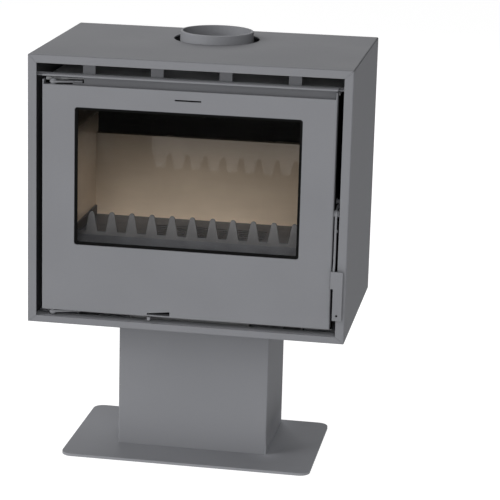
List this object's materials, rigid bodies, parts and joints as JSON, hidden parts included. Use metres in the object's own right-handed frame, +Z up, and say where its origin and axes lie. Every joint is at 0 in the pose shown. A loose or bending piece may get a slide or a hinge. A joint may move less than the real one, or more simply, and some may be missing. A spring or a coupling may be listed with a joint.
{
  "type": "wood burning stove",
  "caption": "Wood burning stove: folded steel casing round a lined firebox, side-hung glazed door with a side latch, air slide, pedestal and top flue collar.",
  "frame": {"origin": "middle of the base plate's underside, on the floor", "axes": "front of the stove is -Y, up is +Z, +X is to the right of someone who faces the door"},
  "size_m": [0.7, 0.4742, 0.927],
  "materials": {
    "casing_paint": "satin heat-resistant grey paint with a fine texture",
    "firebox_paint": "matt black heat-resistant paint",
    "cast_iron": "as cast, dark",
    "lining_board": "smooth pressed board, tan",
    "zinc_steel": "dull zinc plated",
    "seal_rope": "braided black glass-fibre rope",
    "fire_glass": "clear ceramic glass"
  },
  "bodies": {
    "stove": {"base_plate": "casing_paint", "pedestal_column": "casing_paint", "base_plate_screws": "zinc_steel", "base_plate_nuts": "zinc_steel", "pedestal_bolts": "zinc_steel", "pedestal_nuts": "zinc_steel", "casing_top_panel": "casing_paint", "casing_bottom_panel": "casing_paint", "casing_left_panel": "casing_paint", "casing_right_panel": "casing_paint", "rear_panel": "casing_paint", "rear_panel_screws": "zinc_steel", "vent_grille": "casing_paint", "lower_sill": "casing_paint", "firebox_support_rails": "firebox_paint", "firebox_body": "firebox_paint", "flue_collar": "casing_paint", "baffle_plate": "lining_board", "back_lining_panel": "lining_board", "left_lining_panel": "lining_board", "right_lining_panel": "lining_board", "hearth_plate": "cast_iron", "ash_grate": "cast_iron", "ash_pan": "zinc_steel", "log_guard": "cast_iron", "air_box": "firebox_paint", "air_inlet_spigot": "firebox_paint", "air_slide_guides": "zinc_steel", "upper_hinge_bracket": "casing_paint", "lower_hinge_bracket": "casing_paint", "upper_hinge_pin": "casing_paint", "lower_hinge_pin": "casing_paint", "hinge_washers": "casing_paint", "striker_stud": "casing_paint"},
    "air_control": {"air_slide_plate": "zinc_steel", "air_lever": "casing_paint"},
    "door": {"door_panel": "casing_paint", "door_top_rail": "casing_paint", "door_seal_frame": "firebox_paint", "door_lower_shield": "firebox_paint", "door_hinge_blocks": "zinc_steel", "door_rope_seal": "seal_rope", "door_glass": "fire_glass", "glass_gasket": "seal_rope", "glass_retainers": "firebox_paint", "glass_retainer_screws": "zinc_steel", "latch_pivot_bolt": "casing_paint", "latch_spacer": "casing_paint"},
    "latch": {"latch_lever": "casing_paint", "latch_grip_plate": "casing_paint", "grip_plate_screw": "firebox_paint"}
  },
  "joints": [
    {"name": "door_hinge", "type": "hinge", "parent": "stove", "child": "door", "pos_m": [-0.295, -0.1845, 0.6], "axis": [0, 0, -1], "range_deg": [0, 110]},
    {"name": "latch_turn", "type": "hinge", "parent": "door", "child": "latch", "pos_m": [0.3225, -0.183, 0.6], "axis": [-1, 0, 0], "range_deg": [0, 30]},
    {"name": "air_slide", "type": "slide", "parent": "stove", "child": "air_control", "axis": [1, 0, 0], "range_m": [0, 0.043]}
  ]
}
